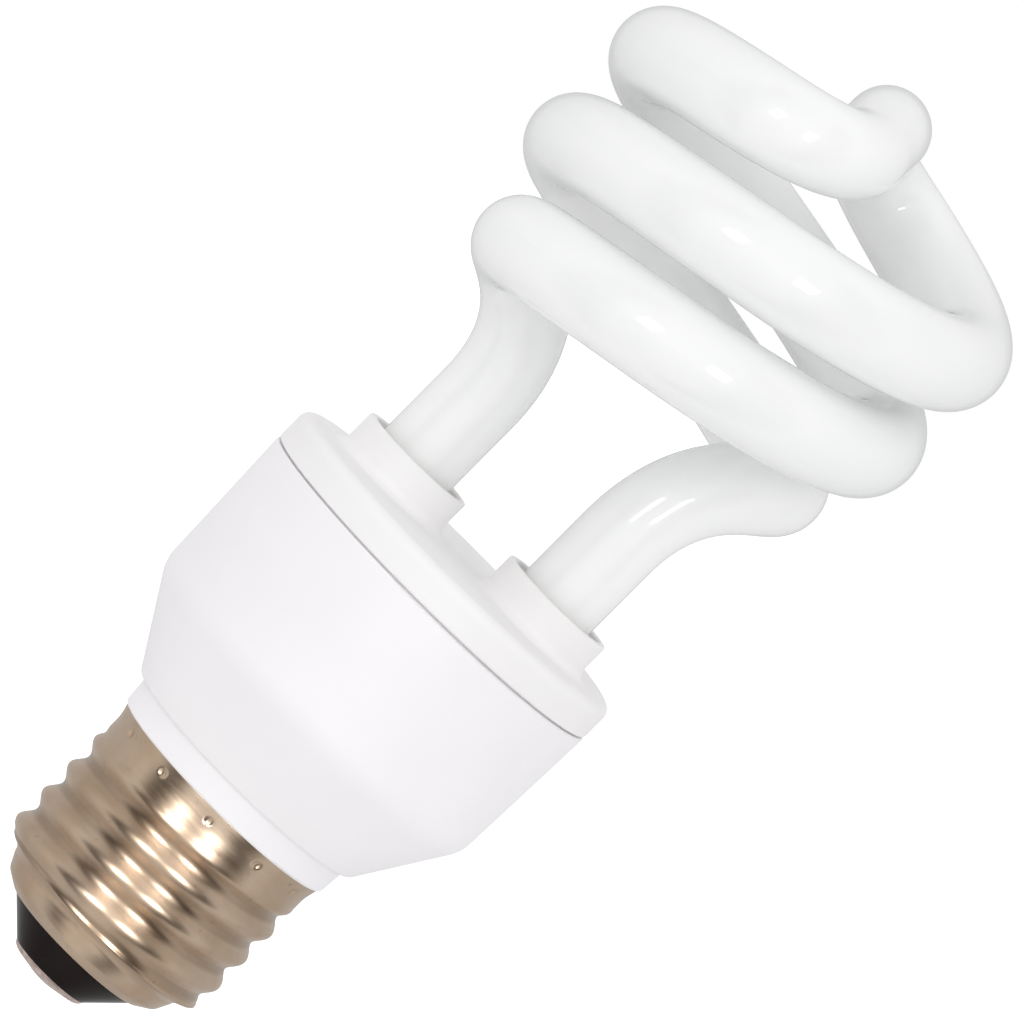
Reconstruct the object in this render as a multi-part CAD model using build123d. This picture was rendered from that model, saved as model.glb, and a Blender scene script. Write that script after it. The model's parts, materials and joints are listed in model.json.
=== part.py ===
from build123d import *
import math
import os

os.makedirs("parts", exist_ok=True)

# Screw base
CONTACT_R = 4.6
CONTACT_H = 1.15
INSULATOR_H = 3.56
SHELL_MOUTH_R = 8.5
SHOULDER_R = 10.8
SHOULDER_H = 2.54
SHOULDER_INSET = 0.75
SHOULDER_ROUND = 1.2
SHOULDER_BEND = 0.4
THREAD_MAJOR_R = 13.06
THREAD_DEPTH = 0.94
THREAD_PITCH = 3.63
THREAD_RUN = 15.2
THREAD_IN = 2.0
THREAD_OUT = 1.5
CREST_RISE = 4.3
BAND_R = 12.75
BAND_H = 3.0
SHEET = 0.35
SHELL_EDGE = 0.3
DIMPLES = 12
DIMPLE_R = 0.7
DIMPLE_DEPTH = 0.22
DIMPLE_DROP = 1.2
DIMPLE_START = -78
EYELET_R = 1.5
EYELET_EDGE = 0.2
STEM_RISE = 1.2
TIP_R = 1.6
TIP_ROUND = 1.5
BUTTON_INSET = 0.25
BUTTON_BEND = 0.55
BUTTON_ROUND = 0.8

# Ballast housing and its lid
NECK_R = 13.4
NECK_FLARE = 0.25
NECK_EDGE = 0.35
NECK_H = 3.0
CONE_R = 14.4
CONE_H = 9.7
CONE_EDGE = 0.9
BODY_R = 20.45
BODY_H = 16.5
BODY_BEND = 4.5
BODY_BEND_IN = 4.0
MOUTH_FLARE = 0.6
MOUTH_EDGE = 0.25
MOUTH_LIP = 0.8
WALL = 1.5
CUP_FLOOR = 1.2
CUP_EDGE = 0.6
SPIGOT_LIFT = 0.7
SPIGOT_EDGE = 0.3
RIB_STEP = 1.4
RIB_W = 2.0
LID_H = 3.75
LID_T = 1.8
LID_EDGE = 1.1
LID_FOOT_EDGE = 0.2
SKIRT_DEPTH = 4.2
SKIRT_WALL = 1.3
SKIRT_EDGE = 0.4
SKIRT_ROOT = 0.5
SLEEVE_R = 6.5
SLEEVE_H = 4.05
SLEEVE_WALL = 0.9
SLEEVE_EDGE = 0.25
SLEEVE_SEAT = 1.5
FOOT_ARC = 14
FOOT_T = 1.2
FOOT_INSET = 0.2
BEAD_ARC = 20
BEAD_RISE = 1.2
BEAD_HALF = 0.6
BEAD_PROUD = 0.55

# Glass tube
LEG_X = 9.9
LEG_R = 4.45
LEG_RISE = 12.15
LEG_DEPTH = 9.6
LEG_CHAMFER = 0.9
TUBE_R = 4.8
COIL_R = 20.8
COIL_LEAD = 23.7
COIL_START = 55.1
COIL_SWEEP = 358.6
COIL_RISE = 27.9
LOW_PULLS = (15.0, 12.5)
BRIDGE_R = 4.4
BRIDGE_TURN = 98.7
BRIDGE_RISE = 7.7
ARCH_REACH = 11.0
ARCH_RISE = 5.3
ARCH_SLOPE = 18.0
HIGH_PULLS = (11.0, 7.0)
ARCH_PULLS = (5.0, 5.0)

# Circuit board and the parts on it
BOARD_T = 1.6
BOARD_DROP = 9.0
CAN_R = 5.0
CAN_H = 18.0
CAN_EDGE = 0.5
CAN_NECK = 0.3
CAN_NECK_DROP = 2.4
CAN_NECK_H = 0.8
CORE_D = 5.0
CORE_W = 13.0
CORE_H = 7.6
YOKE = 1.6
SIDE_LEG = 1.7
MID_LEG = 3.2
SPOOL = 0.5
SPOOL_PIN_X = 0.7
SPOOL_PIN_Y = 1.2
WINDING = 1.6
WINDING_EDGE = 0.8
RING_IN = 2.6
RING_OUT = 4.4
RING_H = 3.2
RING_EDGE = 0.3
TURN = 0.45
HANK_ARC = 50
HANK_EDGE = 0.5
SWITCH_W = 7.8
SWITCH_T = 2.8
SWITCH_H = 7.4
SWITCH_PITCH = 2.3
SWITCH_DROP = 0.8
SWITCH_HOLE_R = 1.1
SWITCH_HOLE_SHARE = 0.7
SWITCH_ASIDE = 3.45
FILM_W = 7.0
FILM_T = 4.0
FILM_H = 6.3
FILM_PITCH = 5.0
FILM_EDGE = 0.8
DISC_R = 2.9
DISC_T = 2.0
DISC_ROUND = 0.4
DIODE_R = 1.35
DIODE_H = 5.0
DIODE_PITCH = 4.0
RESISTOR_R = 1.0
RESISTOR_H = 4.5
TRIGGER_R = 0.9
TRIGGER_H = 3.5
FUSE_R = 1.5
FUSE_H = 7.5
SMALL_EDGE = 0.3
POST_R = 0.45
POST_H = 4.6
TAIL_R = 0.25
TAIL_SPREAD = 1.56
TAIL_BEND = 0.6
PIN_R = 0.3
PIN_RISE = 0.8
PIN_ROOT = 0.7
LEAD_R = 0.45
LEAD_BEND = 2.5
LEAD_LOW = 4.0
LEAD_HIGH = 11.0
SHELL_LEAD_BEND = 1.2

# Clearances
FIT = 0.15
SEAM_GAP = 0.2
LID_STEP = 0.05
PRESS = 0.02
LEAD_FIT = 0.1
PART_GAP = 0.8
STAND_OFF = 0.3
RECESS = 1.6
ARC_PLAY = 1.0
OVERCUT = 1.0
SINK = 0.5

# Heights above the contact's tip
Z_SHELL = CONTACT_H + INSULATOR_H
Z_THREAD = Z_SHELL + SHOULDER_H
Z_BAND = Z_THREAD + THREAD_RUN
Z_NECK = Z_BAND + BAND_H
Z_CUP = Z_NECK + NECK_H
Z_BODY = Z_CUP + CONE_H
Z_SEAM = Z_BODY + BODY_H
Z_LID = Z_SEAM + LID_H
Z_SLEEVE = Z_LID + SLEEVE_H
Z_BOARD = Z_SEAM - BOARD_DROP
Z_PARTS = Z_BOARD - BOARD_T


def rounded(points):
    """Closed outline on the XZ plane from (radius, height, corner round) rows."""
    count = len(points)
    ends = []
    for i in range(count):
        here = Vector(points[i][0], 0, points[i][1])
        before = Vector(points[i - 1][0], 0, points[i - 1][1])
        after = Vector(points[(i + 1) % count][0], 0, points[(i + 1) % count][1])
        size = points[i][2] if len(points[i]) > 2 else 0
        if size == 0:
            ends.append((here, None, here))
            continue
        to_before = (before - here).normalized()
        to_after = (after - here).normalized()
        half = math.radians(to_before.get_angle(to_after)) / 2
        reach = size / math.tan(half)
        middle = (to_before + to_after).normalized()
        crown = here + middle * (size / math.sin(half) - size)
        ends.append((here + to_before * reach, crown, here + to_after * reach))
    edges = []
    for i in range(count):
        first, crown, last = ends[i]
        if crown is not None:
            edges.append(ThreePointArc(first, crown, last))
        follow = ends[(i + 1) % count][0]
        if (follow - last).length > 1e-6:
            edges.append(Line(last, follow))
    return make_face(edges)


def turned(points, arc=360, start=0):
    """Solid of revolution about Z of a rounded outline."""
    solid = revolve(rounded(points), axis=Axis.Z, revolution_arc=arc)
    return Rot(0, 0, start) * solid


def rod(radius, low, high, x=0, y=0):
    """Upright cylinder between two heights."""
    return Pos(x, y, (low + high) / 2) * Cylinder(radius, high - low)


def block(x0, x1, y0, y1, z0, z1):
    """Box between two corners."""
    return Pos((x0 + x1) / 2, (y0 + y1) / 2, (z0 + z1) / 2) * Box(x1 - x0, y1 - y0, z1 - z0)


def wire(radius, points, bend):
    """Round wire along straight runs joined by bends."""
    path = FilletPolyline(*points, radius=bend)
    start = Plane(path @ 0, z_dir=path % 0)
    return sweep(start * Circle(radius), path=path)


def save(name, shape):
    """Write one named piece."""
    export_step(shape, "parts/" + name + ".step")


# Glass tube: the middle line of one half, from its leg to the top of the bridge
LEG_TOP = Z_LID + LEG_RISE
LEG_END = Z_LID - LEG_DEPTH
COIL_Z = Z_LID + COIL_RISE
COIL_END = COIL_START + COIL_SWEEP
BRIDGE_Z = COIL_Z + COIL_LEAD * COIL_SWEEP / 360
BEND_STEPS = 10
COIL_STEPS = 24
THREAD_STEPS = 13


def coil_point(angle):
    """Point of the helix at an angle in degrees."""
    turn = math.radians(angle)
    rise = COIL_LEAD * (angle - COIL_START) / 360
    return Vector(COIL_R * math.cos(turn), COIL_R * math.sin(turn), COIL_Z + rise)


def coil_heading(angle):
    """Unit tangent of the helix at an angle in degrees."""
    turn = math.radians(angle)
    climb = COIL_LEAD / (2 * math.pi)
    return Vector(-COIL_R * math.sin(turn), COIL_R * math.cos(turn), climb).normalized()


def smooth(t):
    """Ease from 0 to 1."""
    return t * t * (3 - 2 * t)


def bend(start, start_dir, end, end_dir, pulls, radii, steps):
    """Stations (point, heading, radius) along a cubic bend, without its first one."""
    b = start + start_dir * pulls[0]
    c = end - end_dir * pulls[1]
    found = []
    for i in range(1, steps + 1):
        t = i / steps
        s = 1 - t
        point = start * s**3 + b * (3 * s * s * t) + c * (3 * s * t * t) + end * t**3
        heading = (b - start) * (s * s) + (c - b) * (2 * s * t) + (end - c) * (t * t)
        radius = radii[0] + (radii[1] - radii[0]) * smooth(t)
        found.append((point, heading.normalized(), radius))
    return found


up = Vector(0, 0, 1)
leg_top = Vector(LEG_X, 0, LEG_TOP)
low_join = coil_point(COIL_START)
high_join = coil_point(COIL_END)
bridge_turn = math.radians(BRIDGE_TURN)
inward = Vector(-math.cos(bridge_turn), -math.sin(bridge_turn), 0)
arch_slope = math.radians(ARCH_SLOPE)
arch_dir = inward * math.cos(arch_slope) + up * math.sin(arch_slope)
arch = inward * (-ARCH_REACH) + up * (BRIDGE_Z + ARCH_RISE)
crown = up * (BRIDGE_Z + BRIDGE_RISE)

coil_in = coil_heading(COIL_START)
coil_out = coil_heading(COIL_END)
stations = [(leg_top, up, LEG_R)]
stations += bend(leg_top, up, low_join, coil_in, LOW_PULLS, (LEG_R, TUBE_R), BEND_STEPS)
for i in range(1, COIL_STEPS + 1):
    angle = COIL_START + COIL_SWEEP * i / COIL_STEPS
    stations.append((coil_point(angle), coil_heading(angle), TUBE_R))
stations += bend(high_join, coil_out, arch, arch_dir, HIGH_PULLS, (TUBE_R, BRIDGE_R), BEND_STEPS)
stations += bend(arch, arch_dir, crown, inward, ARCH_PULLS, (BRIDGE_R, BRIDGE_R), BEND_STEPS // 2)

# Circles square to the line, each turned as little as possible from the one before
side = Vector(1, 0, 0)
rings = []
for point, heading, radius in stations:
    side = (side - heading * side.dot(heading)).normalized()
    ring = Plane(point, x_dir=side, z_dir=heading) * Circle(radius)
    rings.append(ring.face())
half_tube = loft(rings)
leg = rod(LEG_R, LEG_END, LEG_TOP, LEG_X)
leg = chamfer(leg.edges().sort_by(Axis.Z)[0], LEG_CHAMFER)
half_tube += leg
spiral_tube = half_tube + Rot(0, 0, 180) * half_tube
save("spiral_tube", spiral_tube)

# Lid: rim, plate, skirt, hold-down feet, snap beads and the two sleeves
MOUTH_R = BODY_R + MOUTH_FLARE
LID_R = MOUTH_R - LID_STEP
BORE_R = SLEEVE_R - SLEEVE_WALL
SLEEVE_END = LEG_END + SLEEVE_SEAT


def inner_r(z):
    """Inside radius of the housing's upper wall."""
    return BODY_R - WALL + (MOUTH_R - BODY_R) * (z - Z_BODY) / BODY_H


SKIRT_END = Z_SEAM - SKIRT_DEPTH
SKIRT_R = inner_r(SKIRT_END) - FIT
top_cover = turned([
    (0, Z_LID),
    (LID_R, Z_LID, LID_EDGE),
    (LID_R, Z_SEAM, LID_FOOT_EDGE),
    (SKIRT_R, Z_SEAM),
    (SKIRT_R, SKIRT_END, SKIRT_EDGE),
    (SKIRT_R - SKIRT_WALL, SKIRT_END),
    (SKIRT_R - SKIRT_WALL, Z_LID - LID_T, SKIRT_ROOT),
    (0, Z_LID - LID_T),
])
FOOT_R = SKIRT_R - FOOT_INSET
for spot in (45, 135, 225, 315):
    foot_outline = [
        (FOOT_R - FOOT_T, Z_BOARD),
        (FOOT_R, Z_BOARD),
        (FOOT_R, Z_SEAM - SINK),
        (FOOT_R - FOOT_T, Z_SEAM - SINK),
    ]
    top_cover += turned(foot_outline, FOOT_ARC, spot - FOOT_ARC / 2)
BEAD_Z = SKIRT_END + BEAD_RISE
BEAD_R = SKIRT_R + BEAD_PROUD
for spot in (0, 90, 180, 270):
    bead_outline = [
        (SKIRT_R - SINK, BEAD_Z - BEAD_HALF),
        (SKIRT_R, BEAD_Z - BEAD_HALF),
        (BEAD_R, BEAD_Z),
        (BEAD_R, BEAD_Z + BEAD_HALF),
        (SKIRT_R - SINK, BEAD_Z + BEAD_HALF),
    ]
    top_cover += turned(bead_outline, BEAD_ARC, spot - BEAD_ARC / 2)
for x in (-LEG_X, LEG_X):
    top_cover += rod(SLEEVE_R, SLEEVE_END, Z_SLEEVE, x)
roots = top_cover.edges().filter_by(GeomType.CIRCLE).filter_by(lambda e: abs(e.center().Z - Z_LID) < 0.01)
roots = roots.filter_by(lambda e: abs(e.radius - SLEEVE_R) < 0.01)
top_cover = fillet(roots, LID_EDGE)
for x in (-LEG_X, LEG_X):
    top_cover -= rod(BORE_R, SLEEVE_END - OVERCUT, Z_SLEEVE + OVERCUT, x)
lips = top_cover.edges().filter_by(GeomType.CIRCLE).filter_by(lambda e: abs(e.center().Z - Z_SLEEVE) < 0.01)
top_cover = fillet(lips, SLEEVE_EDGE)
save("top_cover", top_cover)

# Cement between each leg and its sleeve
cement = []
for x in (-LEG_X, LEG_X):
    plug = rod(BORE_R - PRESS, SLEEVE_END, Z_SLEEVE - RECESS, x)
    plug -= rod(LEG_R + PRESS, SLEEVE_END - OVERCUT, Z_SLEEVE, x)
    cement.append(plug.solid())
save("tube_cement", Compound(children=cement))

# Housing: spigot inside the metal shell, neck ring, cone and body
SPIGOT_R = BAND_R - SHEET - FIT
SPIGOT_END = Z_BAND + SPIGOT_LIFT
SPIGOT_BORE = SPIGOT_R - WALL
CONE_SLOPE = (BODY_R - CONE_R) / CONE_H
CONE_WALL = WALL * math.hypot(1, CONE_SLOPE)
FLOOR_Z = Z_CUP + CUP_FLOOR
MOUTH_IN = inner_r(Z_SEAM)
ballast_housing = turned([
    (SPIGOT_BORE, SPIGOT_END),
    (SPIGOT_R, SPIGOT_END, SPIGOT_EDGE),
    (SPIGOT_R, Z_NECK),
    (NECK_R, Z_NECK, NECK_EDGE),
    (NECK_R + NECK_FLARE, Z_CUP),
    (CONE_R, Z_CUP, CONE_EDGE),
    (BODY_R, Z_BODY, BODY_BEND),
    (MOUTH_R, Z_SEAM - SEAM_GAP, MOUTH_EDGE),
    (MOUTH_IN + MOUTH_LIP, Z_SEAM - SEAM_GAP),
    (MOUTH_IN + MOUTH_LIP, Z_SEAM),
    (MOUTH_IN, Z_SEAM),
    (BODY_R - WALL, Z_BODY, BODY_BEND_IN),
    (CONE_R - CONE_WALL + CONE_SLOPE * CUP_FLOOR, FLOOR_Z, CUP_EDGE),
    (SPIGOT_BORE, FLOOR_Z),
])
RIB_R = FOOT_R - RIB_STEP
for spot in (45, 135, 225, 315):
    rib = block(RIB_R, inner_r(Z_PARTS) + WALL / 2, -RIB_W / 2, RIB_W / 2, Z_BODY, Z_PARTS)
    ballast_housing += Rot(0, 0, spot) * rib
for spot in (0, 90, 180, 270):
    pocket_outline = [
        (SKIRT_R - SINK, BEAD_Z - BEAD_HALF - FIT),
        (SKIRT_R, BEAD_Z - BEAD_HALF - FIT),
        (BEAD_R + FIT, BEAD_Z - FIT),
        (BEAD_R + FIT, BEAD_Z + BEAD_HALF + FIT),
        (SKIRT_R - SINK, BEAD_Z + BEAD_HALF + FIT),
    ]
    ballast_housing -= turned(pocket_outline, BEAD_ARC + 2 * ARC_PLAY, spot - BEAD_ARC / 2 - ARC_PLAY)

# Staking dimples: each is a small ball pushed through the shell into the spigot
DIMPLE_Z = Z_NECK - DIMPLE_DROP
DIMPLE_AT = BAND_R + DIMPLE_R - DIMPLE_DEPTH
dimple_spots = []
for i in range(DIMPLES):
    turn = math.radians(DIMPLE_START + 360 * i / DIMPLES)
    dimple_spots.append(Pos(DIMPLE_AT * math.cos(turn), DIMPLE_AT * math.sin(turn), DIMPLE_Z))
for spot in dimple_spots:
    ballast_housing -= spot * Sphere(DIMPLE_R + SHEET + PRESS)
save("ballast_housing", ballast_housing)

# Screw shell: circles whose centres run round a small helix make the rounded thread
MEAN_R = THREAD_MAJOR_R - THREAD_DEPTH / 2
CREST_Z = Z_THREAD + CREST_RISE


def thread_stack(shrink):
    """Threaded plug between the shoulder and the band, smaller by the sheet for the inside."""
    steps = round(THREAD_STEPS * THREAD_RUN / THREAD_PITCH)
    stack = []
    for i in range(steps + 1):
        z = Z_THREAD + THREAD_RUN * i / steps
        fade_in = smooth(min(1, (z - Z_THREAD) / THREAD_IN))
        fade_out = smooth(min(1, (Z_BAND - z) / THREAD_OUT))
        start_r = SHOULDER_R + (MEAN_R - SHOULDER_R) * fade_in
        radius = BAND_R + (start_r - BAND_R) * fade_out
        swing = THREAD_DEPTH / 2 * fade_in * fade_out
        turn = 2 * math.pi * (z - CREST_Z) / THREAD_PITCH
        spot = Pos(swing * math.cos(turn), swing * math.sin(turn), z)
        stack.append((spot * Circle(radius - shrink)).face())
    return loft(stack)


BEND_R = SHOULDER_R - SHOULDER_INSET
BEND_Z = Z_SHELL + SHOULDER_BEND * SHOULDER_H
shoulder_out = [
    (0, Z_SHELL),
    (SHELL_MOUTH_R, Z_SHELL, SHELL_EDGE),
    (BEND_R, BEND_Z, SHOULDER_ROUND),
    (SHOULDER_R, Z_THREAD),
    (0, Z_THREAD),
]
shoulder_in = [
    (0, Z_SHELL - OVERCUT),
    (SHELL_MOUTH_R - SHEET, Z_SHELL - OVERCUT),
    (SHELL_MOUTH_R - SHEET, Z_SHELL + SHEET),
    (BEND_R - SHEET, BEND_Z + SHEET, SHOULDER_ROUND - SHEET),
    (SHOULDER_R - SHEET, Z_THREAD),
    (0, Z_THREAD),
]
shell_out = turned(shoulder_out) + thread_stack(0) + rod(BAND_R, Z_BAND, Z_NECK)
shell_in = turned(shoulder_in) + thread_stack(SHEET) + rod(BAND_R - SHEET, Z_BAND, Z_NECK + OVERCUT)
screw_shell = shell_out - shell_in
for spot in dimple_spots:
    bump = spot * Sphere(DIMPLE_R + SHEET)
    screw_shell += bump & rod(BAND_R - SHEET / 2, DIMPLE_Z - DIMPLE_DROP, DIMPLE_Z + DIMPLE_DROP)
for spot in dimple_spots:
    screw_shell -= spot * Sphere(DIMPLE_R)
save("screw_shell", screw_shell)

# Insulator: dark glass cone, poured inside the shoulder
base_insulator = turned([
    (EYELET_R + PRESS, CONTACT_H),
    (CONTACT_R, CONTACT_H),
    (SHELL_MOUTH_R - SHEET, Z_SHELL),
    (SHELL_MOUTH_R - SHEET, Z_SHELL + SHEET),
    (BEND_R - SHEET, BEND_Z + SHEET, SHOULDER_ROUND - SHEET),
    (SHOULDER_R - SHEET, Z_THREAD),
    (EYELET_R + PRESS, Z_THREAD),
])
save("base_insulator", base_insulator)

# Contact button with a hollow stem for its wire
STEM_TOP = Z_THREAD + STEM_RISE
centre_contact = turned([
    (0, 0),
    (TIP_R, 0, TIP_ROUND),
    (CONTACT_R - BUTTON_INSET, BUTTON_BEND * CONTACT_H, BUTTON_ROUND),
    (CONTACT_R, CONTACT_H),
    (EYELET_R, CONTACT_H),
    (EYELET_R, STEM_TOP, EYELET_EDGE),
    (LEAD_R + PRESS, STEM_TOP),
    (LEAD_R + PRESS, Z_SHELL),
    (0, Z_SHELL),
])
save("centre_contact", centre_contact)

# Ballast parts hang under the board with their leads up through it
LEAD_TOP = Z_BOARD + PIN_RISE
holes = []


def with_leads(body, spots, low):
    """A part's body joined to straight leads that pass up through the board."""
    for x, y in spots:
        holes.append((x, y, PIN_R + LEAD_FIT))
        body += rod(PIN_R, low, LEAD_TOP, x, y)
    return body


def bead_part(radius, length, x, y):
    """Small round part hung by its lead, clear of the board by a little."""
    top = Z_PARTS - STAND_OFF
    body = fillet(rod(radius, top - length, top, x, y).edges(), SMALL_EDGE)
    return with_leads(body, [(x, y)], top - PIN_ROOT)


# Smoothing capacitor, a rolled can that reaches down into the neck
can = fillet(rod(CAN_R, Z_PARTS - CAN_H, Z_PARTS).edges(), CAN_EDGE)
neck_high = Z_PARTS - CAN_NECK_DROP
neck_low = neck_high - CAN_NECK_H
can -= turned([
    (CAN_R - CAN_NECK, neck_low),
    (CAN_R + OVERCUT, neck_low),
    (CAN_R + OVERCUT, neck_high),
    (CAN_R - CAN_NECK, neck_high),
])
save("smoothing_capacitor", with_leads(can, [(-CAN_R / 2, 0), (CAN_R / 2, 0)], Z_PARTS - PIN_ROOT))

# Choke: a core through and round a spool, and the winding on the spool
flange_x = CORE_D / 2 + WINDING
flange_y = CORE_W / 2 - SIDE_LEG - FIT
choke_x = -(CAN_R + PART_GAP + flange_x)
core_top = Z_PARTS - STAND_OFF
core_low = core_top - CORE_H
window_top = core_top - YOKE
window_low = core_low + YOKE
core = block(-CORE_D / 2, CORE_D / 2, -CORE_W / 2, CORE_W / 2, core_low, core_top)
for sign in (-1, 1):
    near = sign * MID_LEG / 2
    far = sign * (CORE_W / 2 - SIDE_LEG)
    core -= block(-CORE_D, CORE_D, min(near, far), max(near, far), window_low, window_top)
save("choke_core", Pos(choke_x, 0, 0) * core)

tube_x = CORE_D / 2 + FIT
tube_y = MID_LEG / 2 + FIT
spool_top = window_top - FIT
spool_low = window_low + FIT
spool = block(-tube_x - SPOOL, tube_x + SPOOL, -tube_y - SPOOL, tube_y + SPOOL, spool_low, spool_top)
spool += block(-flange_x, flange_x, -flange_y, flange_y, spool_top - SPOOL, spool_top)
spool += block(-flange_x, flange_x, -flange_y, flange_y, spool_low, spool_low + SPOOL)
for sign in (-1, 1):
    near = sign * tube_x
    far = sign * flange_x
    spool += block(min(near, far), max(near, far), -flange_y, flange_y, spool_top - SPOOL, Z_PARTS)
spool -= block(-tube_x, tube_x, -tube_y, tube_y, spool_low - OVERCUT, spool_top + OVERCUT)
spool_pins = []
for x in (-flange_x + SPOOL_PIN_X, flange_x - SPOOL_PIN_X):
    for y in (-flange_y + SPOOL_PIN_Y, flange_y - SPOOL_PIN_Y):
        spool_pins.append((choke_x + x, y))
save("choke_bobbin", with_leads(Pos(choke_x, 0, 0) * spool, spool_pins, Z_PARTS - PIN_ROOT))

pack_low = spool_low + SPOOL + PRESS
pack_high = spool_top - SPOOL - PRESS
pack_x = tube_x + SPOOL + PRESS
pack_y = tube_y + SPOOL + PRESS
copper = block(-flange_x + FIT, flange_x - FIT, -flange_y + FIT, flange_y - FIT, pack_low, pack_high)
copper = fillet(copper.edges().filter_by(Axis.Z), WINDING_EDGE)
copper -= block(-pack_x, pack_x, -pack_y, pack_y, pack_low - OVERCUT, pack_high + OVERCUT)
save("choke_winding", Pos(choke_x, 0, 0) * copper)

# Drive ring with three short windings
ring_x = CAN_R + PART_GAP + RING_OUT + TURN
ring_top = Z_PARTS - TURN - PRESS
ring_low = ring_top - RING_H
ring_outline = [
    (RING_IN, ring_low, RING_EDGE),
    (RING_OUT, ring_low, RING_EDGE),
    (RING_OUT, ring_top, RING_EDGE),
    (RING_IN, ring_top, RING_EDGE),
]
save("feedback_core", Pos(ring_x, 0, 0) * turned(ring_outline))
hank_out = [
    (RING_IN - TURN, ring_low - TURN - PRESS, HANK_EDGE),
    (RING_OUT + TURN, ring_low - TURN - PRESS, HANK_EDGE),
    (RING_OUT + TURN, Z_PARTS, HANK_EDGE),
    (RING_IN - TURN, Z_PARTS, HANK_EDGE),
]
hank_in = [
    (RING_IN - PRESS, ring_low - PRESS),
    (RING_OUT + PRESS, ring_low - PRESS),
    (RING_OUT + PRESS, ring_top + PRESS),
    (RING_IN - PRESS, ring_top + PRESS),
]
hanks = []
for start in (40, 160, 280):
    hank = turned(hank_out, HANK_ARC, start) - turned(hank_in, HANK_ARC + 2 * ARC_PLAY, start - ARC_PLAY)
    hank = Pos(ring_x, 0, 0) * hank
    middle = math.radians(start + HANK_ARC / 2)
    lead_r = (RING_IN + RING_OUT) / 2
    spot = (ring_x + lead_r * math.cos(middle), lead_r * math.sin(middle))
    hanks.append(with_leads(hank, [spot], Z_PARTS - TURN / 2).solid())
save("feedback_windings", Compound(children=hanks))

# Two switches, each with a hole through its body
switch_x = LEG_X - SWITCH_ASIDE
switch_y = RING_OUT + TURN + PART_GAP + SWITCH_T / 2
for name, y in (("upper_transistor", switch_y), ("lower_transistor", -switch_y)):
    top = Z_PARTS - SWITCH_DROP
    body = block(switch_x - SWITCH_W / 2, switch_x + SWITCH_W / 2, y - SWITCH_T / 2, y + SWITCH_T / 2,
                 top - SWITCH_H, top)
    hole = Rot(90, 0, 0) * Cylinder(SWITCH_HOLE_R, 2 * SWITCH_T)
    body -= Pos(switch_x, y, top - SWITCH_HOLE_SHARE * SWITCH_H) * hole
    spots = [(switch_x + SWITCH_PITCH * k, y) for k in (-1, 0, 1)]
    save(name, with_leads(body, spots, top - PIN_ROOT))

# Film and disc capacitors, outside the wires to the base
lead_ring = (CAN_R + SPIGOT_BORE) / 2
film_y = lead_ring + LEAD_R + PART_GAP + FILM_T / 2
film_x = -PART_GAP - FILM_W / 4
for name, y in (("coupling_capacitor", film_y), ("starting_capacitor", -film_y)):
    film = block(film_x - FILM_W / 2, film_x + FILM_W / 2, y - FILM_T / 2, y + FILM_T / 2,
                 Z_PARTS - STAND_OFF - FILM_H, Z_PARTS - STAND_OFF)
    film = fillet(film.edges().filter_by(Axis.Z), FILM_EDGE)
    spots = [(film_x - FILM_PITCH / 2, y), (film_x + FILM_PITCH / 2, y)]
    save(name, with_leads(film, spots, Z_PARTS - STAND_OFF - PIN_ROOT))
disc_y = film_y + FILM_T / 2 + PART_GAP + DISC_T / 2
disc = Pos(film_x, disc_y, Z_PARTS - STAND_OFF - DISC_R) * Rot(90, 0, 0) * Cylinder(DISC_R, DISC_T)
disc = fillet(disc.edges(), DISC_ROUND * DISC_T)
disc_spots = [(film_x - DISC_R / 2, disc_y), (film_x + DISC_R / 2, disc_y)]
save("snubber_capacitor", with_leads(disc, disc_spots, Z_PARTS - STAND_OFF - DISC_R))

# Small round parts
diode_y = switch_y + SWITCH_T / 2 + PART_GAP + DIODE_R
diodes = []
for x in (switch_x - DIODE_PITCH / 2, switch_x + DIODE_PITCH / 2):
    for y in (-diode_y, diode_y):
        diodes.append(bead_part(DIODE_R, DIODE_H, x, y).solid())
save("rectifier_diodes", Compound(children=diodes))
near_x = switch_x + SWITCH_W / 2 + PART_GAP + RESISTOR_R
far_x = film_x - FILM_W / 2 - PART_GAP - RESISTOR_R
resistors = []
for x, y in ((near_x, switch_y), (near_x, -switch_y), (far_x, film_y), (far_x, -film_y)):
    resistors.append(bead_part(RESISTOR_R, RESISTOR_H, x, y).solid())
save("base_resistors", Compound(children=resistors))
edge_y = CORE_W / 2 + PART_GAP
trigger_x = far_x - RESISTOR_R - PART_GAP - TRIGGER_R
save("trigger_diode", bead_part(TRIGGER_R, TRIGGER_H, trigger_x, edge_y + TRIGGER_R))
fuse_x = far_x - RESISTOR_R - PART_GAP - FUSE_R
save("fusible_resistor", bead_part(FUSE_R, FUSE_H, fuse_x, -edge_y - FUSE_R))

# Pins for the tube's wires, and the wires
post_y = SLEEVE_R + PART_GAP + POST_R
posts = []
for x in (-LEG_X, LEG_X):
    for y in (-post_y, post_y):
        holes.append((x, y, POST_R + PRESS))
        posts.append(rod(POST_R, Z_PARTS, Z_BOARD + POST_H, x, y).solid())
save("wire_pins", Compound(children=posts))
tail_z = (LEG_END + Z_BOARD) / 2
tails = []
for x in (-LEG_X, LEG_X):
    for sign in (-1, 1):
        run = [
            (x, sign * TAIL_SPREAD, LEG_END),
            (x, sign * TAIL_SPREAD, tail_z),
            (x, sign * (post_y - POST_R), tail_z),
        ]
        tails.append(wire(TAIL_R, run, TAIL_BEND).solid())
save("tube_leads", Compound(children=tails))

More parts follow.
